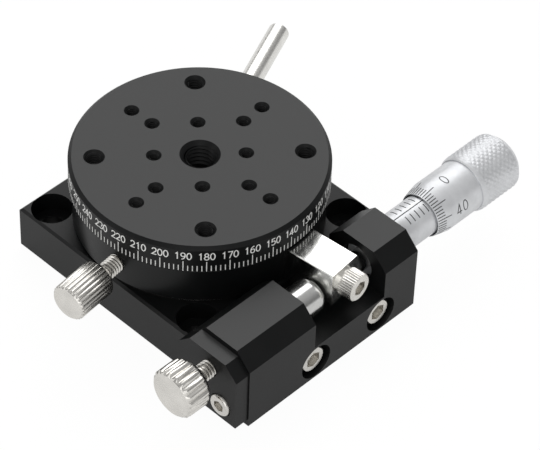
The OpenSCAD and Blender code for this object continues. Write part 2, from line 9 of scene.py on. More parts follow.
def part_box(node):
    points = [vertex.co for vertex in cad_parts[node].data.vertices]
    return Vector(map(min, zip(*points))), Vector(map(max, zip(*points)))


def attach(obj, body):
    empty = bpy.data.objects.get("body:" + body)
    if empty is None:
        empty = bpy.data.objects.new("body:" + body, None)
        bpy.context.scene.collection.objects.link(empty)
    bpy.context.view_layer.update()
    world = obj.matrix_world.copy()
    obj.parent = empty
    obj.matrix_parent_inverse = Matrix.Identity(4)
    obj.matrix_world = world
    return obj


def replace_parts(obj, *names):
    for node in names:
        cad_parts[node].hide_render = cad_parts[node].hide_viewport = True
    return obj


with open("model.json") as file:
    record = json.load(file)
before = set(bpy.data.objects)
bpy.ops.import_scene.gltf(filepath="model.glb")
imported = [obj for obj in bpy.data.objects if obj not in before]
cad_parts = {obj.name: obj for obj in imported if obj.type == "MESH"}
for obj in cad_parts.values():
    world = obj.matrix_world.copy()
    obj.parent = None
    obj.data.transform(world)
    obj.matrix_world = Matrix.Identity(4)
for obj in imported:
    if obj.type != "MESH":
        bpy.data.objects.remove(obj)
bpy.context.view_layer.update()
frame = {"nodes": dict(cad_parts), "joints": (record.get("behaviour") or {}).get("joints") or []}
nodes = frame["nodes"]
mm = 0.001
weld = 0.0001 * mm           # vertices this near each other are one


# camera

cameraSet = {
    "place": (232.41 * mm, -231.56 * mm, 336.09 * mm),
    "turn": 43.193,       # looks along +Y at 0, along -X at 90
    "down": 45.222,       # below the horizon
    "roll": 2.143,
    "lens": 200.96,
    "sensor": 36.0,
    "clip": (0.01, 20.0),
}


def makeCamera(user):
    turn, down, roll = (math.radians(user[k]) for k in ("turn", "down", "roll"))
    forward = Vector((-math.sin(turn) * math.cos(down), math.cos(turn) * math.cos(down),
                      -math.sin(down)))
    level = Vector((math.cos(turn), math.sin(turn), 0))
    up = level.cross(forward)
    right = level * math.cos(roll) + up * math.sin(roll)
    up = right.cross(forward)
    data = bpy.data.cameras.new("camera")
    data.lens = user["lens"]
    data.sensor_width = user["sensor"]
    data.clip_start, data.clip_end = user["clip"]
    camera = bpy.data.objects.new("camera", data)
    turned = Matrix((right, up, -forward)).transposed().to_4x4()
    camera.matrix_world = Matrix.Translation(user["place"]) @ turned
    bpy.context.scene.collection.objects.link(camera)
    bpy.context.scene.camera = camera


makeCamera(cameraSet)
print("camera placed")


# materials

def newMaterial(name):
    material = bpy.data.materials.new(name)
    material.use_nodes = True
    tree = material.node_tree
    return material, tree, tree.nodes["Principled BSDF"]


def addNode(tree, kind, **inputs):
    node = tree.nodes.new(kind)
    for key, value in inputs.items():
        node.inputs[key].default_value = value
    return node


def maths(tree, operation, *values):
    # each value is a plain number or a socket to link
    node = tree.nodes.new("ShaderNodeMath")
    node.operation = operation
    for socket, value in zip(node.inputs, values):
        if isinstance(value, float):
            socket.default_value = value
        else:
            tree.links.new(value, socket)
    return node.outputs[0]


def grain(tree, size):
    # noise whose lumps are about that many metres across
    place = tree.nodes.new("ShaderNodeTexCoord")
    noise = addNode(tree, "ShaderNodeTexNoise", Scale=1 / size, Detail=3.0, Roughness=0.6)
    tree.links.new(place.outputs["Object"], noise.inputs["Vector"])
    return noise.outputs["Fac"]


def ramp(tree, source, stops):
    node = tree.nodes.new("ShaderNodeValToRGB")
    while len(node.color_ramp.elements) < len(stops):
        node.color_ramp.elements.new(0.5)
    for element, (at, tone) in zip(node.color_ramp.elements, stops):
        element.position = at
        element.color = (*tone, 1) if isinstance(tone, tuple) else (tone, tone, tone, 1)
    tree.links.new(source, node.inputs["Fac"])
    return node.outputs["Color"]


def bump(tree, shader, source, depth, strength):
    node = addNode(tree, "ShaderNodeBump", Distance=depth, Strength=strength)
    tree.links.new(source, node.inputs["Height"])
    tree.links.new(node.outputs["Normal"], shader.inputs["Normal"])


def mixColour(tree, factor, first, second):
    node = tree.nodes.new("ShaderNodeMix")
    node.data_type = "RGBA"
    tree.links.new(factor, node.inputs["Factor"])
    for socket, value in ((node.inputs[6], first), (node.inputs[7], second)):
        if isinstance(value, tuple):
            socket.default_value = (*value, 1)
        else:
            tree.links.new(value, socket)
    return node.outputs[2]


def edgeMask(tree, width, sharpness):
    # 1 on edges, 0 on flats: how far the bevelled normal leans from the true one
    rounded = addNode(tree, "ShaderNodeBevel", Radius=width)
    rounded.samples = 6
    true = tree.nodes.new("ShaderNodeNewGeometry")
    lean = tree.nodes.new("ShaderNodeVectorMath")
    lean.operation = "DOT_PRODUCT"
    tree.links.new(rounded.outputs["Normal"], lean.inputs[0])
    tree.links.new(true.outputs["Normal"], lean.inputs[1])
    return ramp(tree, lean.outputs["Value"], [(1 - sharpness, 1.0), (0.999, 0.0)])


anodiseSet = {
    "dark": (0.0040, 0.0044, 0.0046),
    "light": (0.0075, 0.0078, 0.0080),
    "wearAndGlintTone": (0.07, 0.07, 0.07),   # where an edge has lost some of its dye, and a painted highlight along the edges
    "grain": 0.12 * mm,
    "cloud": 12.0 * mm,
    "depth": 0.004 * mm,
    "strength": 0.6,
    "specular": 0.2,
    "edgeWidth": 0.08 * mm,
    "edgeSharpness": 0.16,
    "wearAndGlintGrain": 1.1 * mm,
    "wearAndGlint": (0.05, 0.55),           # least and most rubbing and painted highlight on an edge
    # painted sheen: upward faces are lightened only from this height up
    "topSheenAbove": 12.0 * mm,
    "roughnessSpread": (0.05, 0.06),
}


def hazeMask(tree, above):
    # 1 on faces that look upwards, from that height up: where a painted sheen stands in for the overhead
    # light's reflection
    facing = tree.nodes.new("ShaderNodeNewGeometry")
    normal = tree.nodes.new("ShaderNodeSeparateXYZ")
    tree.links.new(facing.outputs["True Normal"], normal.inputs[0])
    where = tree.nodes.new("ShaderNodeTexCoord")
    spot = tree.nodes.new("ShaderNodeSeparateXYZ")
    tree.links.new(where.outputs["Object"], spot.inputs[0])
    upward = ramp(tree, normal.outputs["Z"], [(0.9, 0.0), (0.99, 1.0)])
    return maths(tree, "MULTIPLY", upward, maths(tree, "GREATER_THAN", spot.outputs["Z"], above))


def anodise(name, roughness, topSheenTone=0.0):
    # a painted sheen: faces that look upwards, from a height up, get a paler colour in place of the
    # overhead light's reflection, and lower faces stay dark as in shade
    user = anodiseSet
    material, tree, shader = newMaterial(name)
    colour = ramp(tree, grain(tree, user["cloud"]), [(0.35, user["dark"]), (0.7, user["light"])])
    edge = edgeMask(tree, user["edgeWidth"], user["edgeSharpness"])
    least, most = user["wearAndGlint"]
    patches = ramp(tree, grain(tree, user["wearAndGlintGrain"]), [(0.4, least), (0.65, most)])
    if topSheenTone:
        topSheenColour = (topSheenTone, topSheenTone * 1.01, topSheenTone * 1.01)
        colour = mixColour(tree, hazeMask(tree, user["topSheenAbove"]), colour, topSheenColour)
    # edges lightened in patches: part wear, part a painted edge highlight
    wearAndGlint = maths(tree, "MULTIPLY", edge, patches)
    tree.links.new(mixColour(tree, wearAndGlint, colour, user["wearAndGlintTone"]), shader.inputs["Base Color"])
    fine = grain(tree, user["grain"])
    bump(tree, shader, fine, user["depth"], user["strength"])
    smoother, rougher = user["roughnessSpread"]
    sheen = ramp(tree, fine, [(0.3, roughness - smoother), (0.7, roughness + rougher)])
    tree.links.new(sheen, shader.inputs["Roughness"])
    shader.inputs["Specular IOR Level"].default_value = user["specular"]
    return material


metalSet = {
    "patches": 3.0 * mm,
    "darker": 0.86,
    "grain": 0.4 * mm,
    "strength": 0.5,
}


def metal(name, colour, roughness, spread=0.05, depth=0.002 * mm, metallic=1.0):
    user = metalSet
    material, tree, shader = newMaterial(name)
    shader.inputs["Metallic"].default_value = metallic
    tone = tuple(c * user["darker"] for c in colour)
    patches = ramp(tree, grain(tree, user["patches"]), [(0.3, tone), (0.7, colour)])
    tree.links.new(patches, shader.inputs["Base Color"])
    fine = grain(tree, user["grain"])
    sheen = ramp(tree, fine, [(0.3, roughness - spread), (0.7, roughness + spread)])
    tree.links.new(sheen, shader.inputs["Roughness"])
    bump(tree, shader, fine, depth, user["strength"])
    return material


def paint(name, colour, roughness=0.55, worn=0.72):
    material, tree, shader = newMaterial(name)
    thin = tuple(c * worn for c in colour)
    cover = ramp(tree, grain(tree, 0.3 * mm), [(0.32, thin), (0.6, colour)])
    tree.links.new(cover, shader.inputs["Base Color"])
    shader.inputs["Roughness"].default_value = roughness
    return material


finishes = {
    # the last number is the tone of the painted sheen on upward faces
    "tableTop": anodise("anodisedTable", 0.42, topSheenTone=0.058),
    "blockBody": anodise("anodisedBlock", 0.38, topSheenTone=0.058),
    "anodised": anodise("anodisedBody", 0.34),
    "nickel": metal("nickelPlate", (0.78, 0.76, 0.72), 0.26, depth=0.0008 * mm),
    "steel": metal("brightSteel", (0.66, 0.66, 0.65), 0.2),
    "chrome": metal("polishedChrome", (0.90, 0.90, 0.88), 0.17, spread=0.04),
    "satin": metal("satinChrome", (0.80, 0.81, 0.83), 0.42, spread=0.06, metallic=0.5),
    "rod": metal("satinRod", (0.86, 0.85, 0.82), 0.3),
    "brass": metal("machinedBrass", (0.72, 0.52, 0.22), 0.28),
    "sliding": paint("slidingPlastic", (0.82, 0.81, 0.77), roughness=0.5),
    "white": paint("whiteFilling", (0.93, 0.93, 0.91), worn=0.88),
    "black": paint("blackFilling", (0.045, 0.048, 0.052)),
}
print("materials made")


# shapes that several pieces share

def finishPiece(name, bm, body, finish, smoothAngle=35):
    # a merged, smooth-shaded piece from a bmesh, riding on a body
    bmesh.ops.remove_doubles(bm, verts=bm.verts, dist=weld)
    bmesh.ops.recalc_face_normals(bm, faces=bm.faces)
    mesh = bpy.data.meshes.new(name)
    bm.to_mesh(mesh)
    bm.free()
    mesh.materials.append(finishes[finish])
    if mesh.has_custom_normals:
        mesh.attributes.remove(mesh.attributes["custom_normal"])
    for face in mesh.polygons:
        face.use_smooth = True
    mesh.set_sharp_from_angle(angle=math.radians(smoothAngle))
    piece = bpy.data.objects.new(name, mesh)
    bpy.context.scene.collection.objects.link(piece)
    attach(piece, body)
    return piece


def turnedSkin(rings, segments, place):
    # a closed skin through rings of (height, radius); a radius may depend on the turn
    bm = bmesh.new()
    bmesh.ops.create_cone(bm, cap_ends=True, cap_tris=False, segments=segments,
                          radius1=1, radius2=1, depth=1)
    upright = [e for e in bm.edges if abs(e.verts[0].co.z - e.verts[1].co.z) > 0.5]
    bmesh.ops.subdivide_edges(bm, edges=upright, cuts=len(rings) - 2)
    for v in bm.verts:
        height, radius = rings[round((v.co.z + 0.5) * (len(rings) - 1))]
        turn = math.atan2(v.co.y, v.co.x)
        reach = radius(turn) if callable(radius) else radius
        v.co = place @ Vector((reach * math.cos(turn), reach * math.sin(turn), height))
    return bm


def joinInto(bm, other):
    mesh = bpy.data.meshes.new("join")
    other.to_mesh(mesh)
    other.free()
    bm.from_mesh(mesh)
    bpy.data.meshes.remove(mesh)


def fluted(radius, depth, flutes, narrow=2.0):
    # ridges with narrow grooves between them
    return lambda turn: radius - depth * (0.5 + 0.5 * math.cos(flutes * turn)) ** narrow


def reachAlong(node, place):
    # how far a node's mesh lies along an axis frame
    inverse = place.inverted()
    heights = [(inverse @ v.co).z for v in nodes[node].data.vertices]
    return min(heights), max(heights)


def axisFrame(origin, along, top=(0, 0, 1)):
    # local Z lies along the axis, local Y points as near to top as it can
    z = Vector(along).normalized()
    x = Vector(top).cross(z).normalized()
    return Matrix.Translation(origin) @ Matrix((x, z.cross(x), z)).transposed().to_4x4()


def nodeCopy(node):
    bm = bmesh.new()
    bm.from_mesh(nodes[node].data)
    bmesh.ops.remove_doubles(bm, verts=bm.verts, dist=weld)
    return bm


def arc(x, y, wide, tall, start, end, steps=12):
    turns = (math.radians(start + (end - start) * i / steps) for i in range(steps + 1))
    return [(x + wide * math.cos(turn), y + tall * math.sin(turn)) for turn in turns]


# an engraver's digits: lines in a box 1 high, feet on 0 and middle on 0
engravedDigits = {
    "0": [arc(0, 0.5, 0.27, 0.46, 90, 450, 24)],
    "1": [[(-0.17, 0.76), (0.04, 0.96), (0.04, 0.0)]],
    "2": [arc(0, 0.69, 0.26, 0.27, 170, -38) + [(-0.29, 0.045), (0.30, 0.045)]],
    "3": [arc(-0.01, 0.73, 0.24, 0.23, 160, -80), arc(-0.01, 0.27, 0.28, 0.23, 78, -160)],
    "4": [[(0.11, 0.0), (0.11, 0.96), (-0.30, 0.27), (0.31, 0.27)]],
    "5": [[(0.25, 0.955), (-0.19, 0.955), (-0.24, 0.52)], arc(-0.01, 0.33, 0.28, 0.29, 135, -150)],
    "6": [arc(0, 0.31, 0.26, 0.27, 0, 360, 24), arc(0.16, 0.34, 0.42, 0.62, 178, 84)],
    "7": [[(-0.28, 0.955), (0.28, 0.955), (-0.07, 0.0)]],
    "8": [arc(0, 0.73, 0.22, 0.23, 90, 450, 20), arc(0, 0.26, 0.27, 0.24, 90, 450, 20)],
    "9": [arc(0, 0.69, 0.26, 0.27, 0, 360, 24), arc(-0.16, 0.66, 0.42, 0.62, -2, -96)],
}


def addStroke(bm, line, width, thickness, bend):
    # a flat ribbon along a line, in short steps so that it can follow a curve, thickened and bent
    ribbon = bmesh.new()
    longest = 0.25 * mm
    fine = [line[0]]
    for start, end in zip(line, line[1:]):
        steps = max(1, math.ceil(math.dist(start, end) / longest))
        fine += [tuple(a + (b - a) * i / steps for a, b in zip(start, end)) for i in range(1, steps + 1)]
    line = fine
    chain = [ribbon.verts.new((x, y, 0)) for x, y in line]
    edges = [ribbon.edges.new(pair) for pair in zip(chain, chain[1:])]
    made = bmesh.ops.extrude_edge_only(ribbon, edges=edges)
    twins = [g for g in made["geom"] if isinstance(g, bmesh.types.BMVert)]
    count = len(chain)
    closed = (Vector(line[0]) - Vector(line[-1])).length < 1e-6
    for i, (vert, twin) in enumerate(zip(chain, twins)):
        before = Vector(line[i - 1]) if i else Vector(line[-2] if closed else line[0])
        after = Vector(line[i + 1]) if i + 1 < count else Vector(line[1] if closed else line[-1])
        here = Vector(line[i])
        ways = [w.normalized() for w in (here - before, after - here) if w.length > 1e-9]
        along = sum(ways, Vector((0, 0))).normalized()
        side = Vector((-along.y, along.x)) * width / 2 / max(0.5, along.dot(ways[0]))
        vert.co = (here.x + side.x, here.y + side.y, 0)
        twin.co = (here.x - side.x, here.y - side.y, 0)
    if closed:
        bmesh.ops.remove_doubles(ribbon, verts=ribbon.verts, dist=weld)
    raised = bmesh.ops.extrude_face_region(ribbon, geom=ribbon.faces[:])
    for v in (g for g in raised["geom"] if isinstance(g, bmesh.types.BMVert)):
        v.co.z += thickness
    for v in ribbon.verts:
        v.co = bend(v.co)
    joinInto(bm, ribbon)


def addSlab(bm, bend, width, height, thickness):
    # a thin bar; bend maps its flat place to space
    made = bmesh.ops.create_cube(bm, size=1.0)
    for v in made["verts"]:
        v.co = bend(Vector((v.co.x * width, v.co.y * height, v.co.z * thickness)))


def addText(bm, text, height, advance, stroke, bend, thickness):
    narrow = 0.86
    for i, letter in enumerate(text):
        shift = (i - (len(text) - 1) / 2) * advance * height
        for line in engravedDigits[letter]:
            placed = [(x * height * narrow + shift, y * height) for x, y in line]
            addStroke(bm, placed, stroke, thickness, bend)


def threadStrip(bm, frameMatrix, start, end, rootRadius, crestRadius, pitch, steps=28, wall=0):
    # one pitch of the thread's outline, wound up the axis, then cut square at both ends;
    # a wall leaves it open in the middle, as a lining
    outline = [(crestRadius, 0.0), (crestRadius, 0.12), (rootRadius, 0.5), (rootRadius, 0.62),
               (crestRadius, 1.0)]
    chain = [bm.verts.new((r, 0, start + (h - 1) * pitch)) for r, h in outline]
    edges = [bm.edges.new(pair) for pair in zip(chain, chain[1:])]
    turns = math.ceil((end - start) / pitch) + 1
    bmesh.ops.spin(bm, geom=chain + edges, cent=(0, 0, 0), axis=(0, 0, 1),
                   dvec=(0, 0, pitch / steps), angle=math.tau * turns, steps=steps * turns)
    bmesh.ops.remove_doubles(bm, verts=bm.verts, dist=weld)
    for height, outwards in ((start, False), (end, True)):
        cut = bmesh.ops.bisect_plane(bm, geom=bm.verts[:] + bm.edges[:] + bm.faces[:],
                                     plane_co=(0, 0, height), plane_no=(0, 0, 1),
                                     clear_outer=outwards, clear_inner=not outwards)
        rim = [g for g in cut["geom_cut"] if isinstance(g, bmesh.types.BMEdge)]
        if not wall:
            bmesh.ops.holes_fill(bm, edges=rim, sides=0)
    if wall:
        bmesh.ops.solidify(bm, geom=bm.faces[:], thickness=wall)
    bmesh.ops.transform(bm, matrix=frameMatrix, verts=bm.verts)


# finishes on the CAD pieces

finishOf = {
    "tableTop": ("table",),
    "blockBody": ("side_block", "end_plate"),
    "anodised": ("base_plate", "fine_ring"),
    "nickel": ("clamp_screw", "lock_screw", "lever_screw", "lever_washer", "side_block_screws",
               "end_plate_screws"),
    "steel": ("bearing_outer_ring", "bearing_inner_ring", "bearing_balls", "bearing_retainer",
              "spindle_nut", "adjusting_nut", "micrometer_set_screw", "plunger_spring", "spindle",
              "plunger"),
    "chrome": ("lever",),
    "satin": ("micrometer_barrel", "scale_sleeve", "thimble", "thimble_cap"),
    "rod": ("handle_rod",),
    "brass": ("clamp_pad", "bearing_cage", "spring_seat"),
    "sliding": ("ring_washer",),
}


def dressNodes():
    for finish, names in finishOf.items():
        for name in names:
            mesh = nodes[name].data
            mesh.materials.clear()
            mesh.materials.append(finishes[finish])


dressNodes()
print("CAD pieces finished")


# degree scale on the table's rim

degreeSet = {
    "zeroAt": 138.5,             # where 0 stands, in degrees from +X
    "division": 2,
    "labelled": 10,
    "digitTop": 1.0 * mm,        # all below the table's face
    "digitHeight": 1.42 * mm,
    "digitAdvance": 0.63,        # of the height
    "stroke": 0.18 * mm,
    "longTick": (2.8 * mm, 4.8 * mm),
    "shortTick": (3.65 * mm, 4.75 * mm),
    "tickWidth": 0.14 * mm,
    "proud": 0.012 * mm,
    "buried": 0.03 * mm,
}


def makeDegreeScale(user):
    low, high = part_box("table")
    radius = (high.x - low.x) / 2
    top = high.z
    half = Vector((0, 0, (user["proud"] + user["buried"]) / 2))
    bm = bmesh.new()

    def bendAt(degrees, height):
        def bend(flat):
            turn = math.radians(degrees) + flat.x / radius
            reach = radius - user["buried"] + flat.z
            return Vector((reach * math.cos(turn), reach * math.sin(turn), top - height + flat.y))
        return bend

    thickness = user["proud"] + user["buried"]
    for value in range(0, 360, user["division"]):
        isLong = value % user["labelled"] == 0
        upper, lower = user["longTick"] if isLong else user["shortTick"]
        bend = bendAt(user["zeroAt"] - value, (upper + lower) / 2)
        addSlab(bm, lambda flat: bend(flat + half), user["tickWidth"], lower - upper, thickness)
        if isLong:
            foot = bendAt(user["zeroAt"] - value, user["digitTop"] + user["digitHeight"])
            addText(bm, str(value), user["digitHeight"], user["digitAdvance"], user["stroke"], foot,
                    thickness)
    finishPiece("degreeScale", bm, "table", "white")


makeDegreeScale(degreeSet)
print("degree scale made")


# marks on the micrometer

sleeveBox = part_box("scale_sleeve")
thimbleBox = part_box("thimble")
driveX = (sleeveBox[0].x + sleeveBox[1].x) / 2
driveZ = (sleeveBox[0].z + sleeveBox[1].z) / 2
markThickness = 0.016 * mm   # half of it stands proud

sleeveSet = {
    "firstMark": 2.05 * mm,      # from the block's face
    "marks": 8,
    "spacing": 1.0 * mm,
    "gap": 10.0,                 # degrees between the index line and a tick
    "reach": 25.0,               # degrees that a tick runs round
    "line": 0.17 * mm,
    "indexAt": 88.0,             # degrees round from +X
}


def wrapOnDrive(radiusAt, degrees, along):
    # flat x goes along the micrometer, flat y round it
    def wrap(flat):
        y = along + flat.x
        r = radiusAt(y) + flat.z
        turn = math.radians(degrees) + flat.y / radiusAt(y)
        return Vector((driveX + r * math.cos(turn), y, driveZ + r * math.sin(turn)))
    return wrap


def addRoundTick(bm, wrap, width, length, thickness, pieces=6):
    for i in range(pieces):
        part = length / pieces
        shift = Vector((0, (i + 0.5) * part - length / 2, 0))
        addSlab(bm, lambda flat: wrap(flat + shift), width, part, thickness)


def makeSleeveMarks(user):
    radius = (sleeveBox[1].x - sleeveBox[0].x) / 2
    start, end = sleeveBox[0].y, sleeveBox[1].y
    bm = bmesh.new()
    index = wrapOnDrive(lambda y: radius, user["indexAt"], (start + end) / 2)
    addSlab(bm, index, end - start, user["line"], markThickness)
    length = math.radians(user["reach"]) * radius
    for side, shift in ((1, 0.0), (-1, 0.5)):
        for i in range(user["marks"] - (side < 0)):
            y = start + user["firstMark"] + (i + shift) * user["spacing"]
            middle = user["indexAt"] + side * (user["gap"] + user["reach"] / 2)
            wrap = wrapOnDrive(lambda y: radius, middle, y)
            addRoundTick(bm, wrap, user["line"], length, markThickness)
    finishPiece("sleeveMarks", bm, "base", "black")


thimbleSet = {
    "edgeRadius": 3.75 * mm,
    "bodyRadius": 4.35 * mm,
    "taper": 2.7 * mm,
    "divisions": 50,
    "longTick": 2.45 * mm,
    "shortTick": 1.4 * mm,
    "edgeSpace": 0.1 * mm,
    "line": 0.14 * mm,
    "labels": (0, 10, 20, 30, 40),
    "digitHeight": 1.9 * mm,
    "digitAdvance": 0.74,
    "stroke": 0.16 * mm,
    "labelAt": 4.95 * mm,        # from the thimble's edge
}


def makeThimbleMarks(user):
    edge = thimbleBox[0].y
    grow = (user["bodyRadius"] - user["edgeRadius"]) / user["taper"]

    def radiusAt(y):
        return min(user["edgeRadius"] + grow * (y - edge), user["bodyRadius"])

    bm = bmesh.new()
    for i in range(user["divisions"]):
        length = user["longTick"] if i % 5 == 0 else user["shortTick"]
        turn = 90 + i * 360 / user["divisions"]
        wrap = wrapOnDrive(radiusAt, turn, edge + user["edgeSpace"] + length / 2)
        addSlab(bm, wrap, length, user["line"], markThickness)
    for value in user["labels"]:
        turn = 90 + value * 360 / user["divisions"]
        wrap = wrapOnDrive(radiusAt, turn, edge + user["labelAt"])
        half = Vector((0, -user["digitHeight"] / 2, -markThickness / 2))
        addText(bm, str(value), user["digitHeight"], user["digitAdvance"], user["stroke"],
                lambda flat: wrap(flat + half), markThickness)
    finishPiece("thimbleMarks", bm, "thimble", "black")


makeSleeveMarks(sleeveSet)
makeThimbleMarks(thimbleSet)
print("micrometer marks made")


# knurled grip

gripSet = {
    "radius": 4.72 * mm,
    "depth": 0.13 * mm,
    "start": 9.7 * mm,           # from the thimble's edge
    "stretch": 0.9 * mm,         # how far the closed end moves out
    "stretched": 3.0 * mm,       # how much of that end moves
    "mouthRadius": 3.66 * mm,
    "mouthDepth": 0.2 * mm,
    "mouthWithin": 3.5 * mm,     # radius that only the mouth's rim is inside
    "endBevel": 1.3 * mm,
    "endCut": 1.0 * mm,
    "frontBevel": 0.6 * mm,
    "frontCut": 0.3 * mm,
    "around": 30,                # diamonds round the grip
    "along": 9,                  # diamonds along it
    "fine": 6,                   # steps in one diamond
    "flatTops": 1.6,             # above 1, the diamonds end flat
    "bulge": 0.8,                # below 1, their sides bulge
    "roundness": 1.5,            # of both bevels
}


def makeThimble(user):
    # the CAD thimble with a longer closed end and a wider mouth
    bm = nodeCopy("thimble")
    for v in bm.verts:
        if v.co.y > thimbleBox[1].y - user["stretched"]:
            v.co.y += user["stretch"]
        flat = Vector((v.co.x - driveX, v.co.z - driveZ))
        if v.co.y < thimbleBox[0].y + user["mouthDepth"] and flat.length < user["mouthWithin"]:
            flat *= user["mouthRadius"] / flat.length
            v.co.x, v.co.z = driveX + flat.x, driveZ + flat.y
    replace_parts(finishPiece("thimbleShell", bm, "thimble", "satin"), "thimble")
    bm = nodeCopy("thimble_cap")
    for v in bm.verts:
        v.co.y += user["stretch"]
    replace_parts(finishPiece("thimbleEnd", bm, "thimble", "satin"), "thimble_cap")


def makeGrip(user):
    start = thimbleBox[0].y + user["start"]
    length = thimbleBox[1].y + user["stretch"] - start
    around, along = user["around"] * user["fine"], user["along"] * user["fine"]
    bm = bmesh.new()
    bmesh.ops.create_cone(bm, cap_ends=False, segments=around, radius1=1, radius2=1, depth=1)
    upright = [e for e in bm.edges if abs(e.verts[0].co.z - e.verts[1].co.z) > 0.5]
    bmesh.ops.subdivide_edges(bm, edges=upright, cuts=along - 1)

    def wave(phase):
        return 1 - abs(2 * (phase % 1) - 1)

    for v in bm.verts:
        share = v.co.z + 0.5
        turn = math.atan2(v.co.y, v.co.x) / math.tau
        first = wave(turn * user["around"] + share * user["along"])
        second = wave(turn * user["around"] - share * user["along"])
        rise = user["depth"] * min(1.0, user["flatTops"] * min(first, second)) ** user["bulge"]
        fromEnd = (1 - share) * length
        fromFront = share * length
        cut = (max(0.0, 1 - fromEnd / user["endBevel"]) ** user["roundness"] * user["endCut"]
               + max(0.0, 1 - fromFront / user["frontBevel"]) ** user["roundness"] * user["frontCut"])
        r = min(user["radius"] + rise, user["radius"] + user["depth"] - cut)
        turn *= math.tau
        v.co = Vector((driveX + r * math.cos(turn), start + fromFront, driveZ + r * math.sin(turn)))
    finishPiece("knurledGrip", bm, "thimble", "satin", 60)


makeThimble(gripSet)
makeGrip(gripSet)
print("thimble and grip made")


# thumb screws

clampSet = {
    "front": 30.6 * mm,          # how far out from the turning axis
    "back": 22.7 * mm,
    "radius": 3.0 * mm,
    "flutes": 26,
    "depth": 0.2 * mm,
    "shoulder": (1.1 * mm, 1.1 * mm),   # length and depth of the bevel at the back
    "bevel": 0.35 * mm,
    "wall": 19.6 * mm,           # where the screw goes in
    "rings": 0.0,                # depth of the turning marks on the end
}
lockSet = {
    "front": 30.65 * mm,
    "back": 26.05 * mm,          # clear of the end plate when screwed in
    "radius": 4.05 * mm,
    "flutes": 20,
    "depth": 0.34 * mm,
    "shoulder": (0.8 * mm, 0.7 * mm),
    "bevel": 0.5 * mm,
    "wall": 22.6 * mm,
    "rings": 0.018 * mm,
}
threadSet = {
    "root": 1.2 * mm,
    "crest": 1.42 * mm,
    "pitch": 0.5 * mm,
    "plain": 1.36 * mm,          # radius of the part that no one sees
    "tipBevel": 0.3 * mm,
    "overlap": 0.4 * mm,         # how far the thread goes on inside the wall
    "neck": 1.6 * mm,
}


def knobOutline(user):
    back, front, radius, bevel = (user[k] for k in ("back", "front", "radius", "bevel"))
    shoulder, drop = user["shoulder"]
    face = radius - bevel
    ridge = fluted(radius, user["depth"], user["flutes"])
    low = fluted(radius - drop * 0.35, user["depth"] * 0.6, user["flutes"])
    outline = [(back, threadSet["neck"]), (back, radius - drop), (back + shoulder * 0.6, low),
               (back + shoulder, ridge), (front - bevel, ridge),
               (front - bevel * 0.3, radius - bevel * 0.7), (front, face)]
    turningMarks = 8
    for i in range(1, turningMarks + 1):
        outline.append((front - user["rings"] * (i % 2), face * (1 - i / (turningMarks + 1))))
    return outline


def makeThumbScrew(name, node, place, user):
    tip, _ = reachAlong(node, place)
    wall, back = user["wall"], user["back"]
    root, crest, plain = (threadSet[k] for k in ("root", "crest", "plain"))
    bm = turnedSkin(knobOutline(user), user["flutes"] * 10, place)
    stem = [(tip, root * 0.8), (tip + threadSet["tipBevel"], plain), (wall, plain), (wall, root),
            (back + 0.2 * mm, root)]
    joinInto(bm, turnedSkin(stem, 40, place))
    thread = bmesh.new()
    threadStrip(thread, place, wall - threadSet["overlap"], back + 0.1 * mm, root - 0.02 * mm, crest,
                threadSet["pitch"])
    joinInto(bm, thread)
    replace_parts(finishPiece(name, bm, node, "nickel", 40), node)


def makeThumbScrews():
    joint = next(j for j in frame["joints"] if j["child"] == "clamp_screw")
    out = -Vector(joint["axis"]).normalized()
    middle = (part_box("clamp_screw")[0].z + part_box("clamp_screw")[1].z) / 2
    place = axisFrame((0, 0, middle), out)
    if reachAlong("clamp_screw", place)[1] < 20 * mm:
        place = axisFrame((0, 0, middle), -out)
    makeThumbScrew("clampScrew", "clamp_screw", place, clampSet)
    makeThumbScrew("lockScrew", "lock_screw", axisFrame((driveX, 0, driveZ), (0, -1, 0)), lockSet)


makeThumbScrews()
print("thumb screws made")


# plunger, its bore, and the cap screws

plungerSet = {
    "radius": 2.9 * mm,
    "nose": 8.0 * mm,            # radius of the blunt end
    "corner": 1.5 * mm,          # radius of its rounded rim
    "springBore": (1.9 * mm, 9.0 * mm),   # radius and depth, from the back
}
stemSet = {
    "recess": 1.2 * mm,
    "moved": 0.5 * mm,           # how much of the end goes back
}
boreSet = {
    "radius": 2.97 * mm,
    "between": (2.4 * mm, 2.75 * mm),     # radii that the CAD bore lies between
    "length": 14.5 * mm,
}


def makePlunger(user):
    place = axisFrame((driveX, 0, driveZ), (0, 1, 0))
    tail, tip = reachAlong("plunger", place)
    radius, nose, corner = user["radius"], user["nose"], user["corner"]
    boreRadius, boreDepth = user["springBore"]
    lean = math.asin((radius - corner) / (nose - corner))
    rim = tip - nose + (nose - corner) * math.cos(lean)
    rings = [(tail + boreDepth, boreRadius), (tail, boreRadius), (tail, radius)]
    for i in range(11):
        turn = math.pi / 2 + (lean - math.pi / 2) * i / 10
        rings.append((rim + corner * math.cos(turn), radius - corner + corner * math.sin(turn)))
    for i in range(1, 8):
        turn = lean * (1 - i / 8)
        rings.append((tip - nose + nose * math.cos(turn), nose * math.sin(turn)))
    skin = turnedSkin(rings, 72, place)
    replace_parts(finishPiece("roundedPlunger", skin, "plunger", "steel", 40), "plunger")


def makeStem(user):
    # the micrometer's stem, ending a little way inside the block's wall
    bm = nodeCopy("micrometer_barrel")
    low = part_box("micrometer_barrel")[0].y
    for v in bm.verts:
        if v.co.y < low + user["moved"]:
            v.co.y += user["recess"]
    stem = finishPiece("recessedStem", bm, "base", "satin")
    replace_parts(stem, "micrometer_barrel")


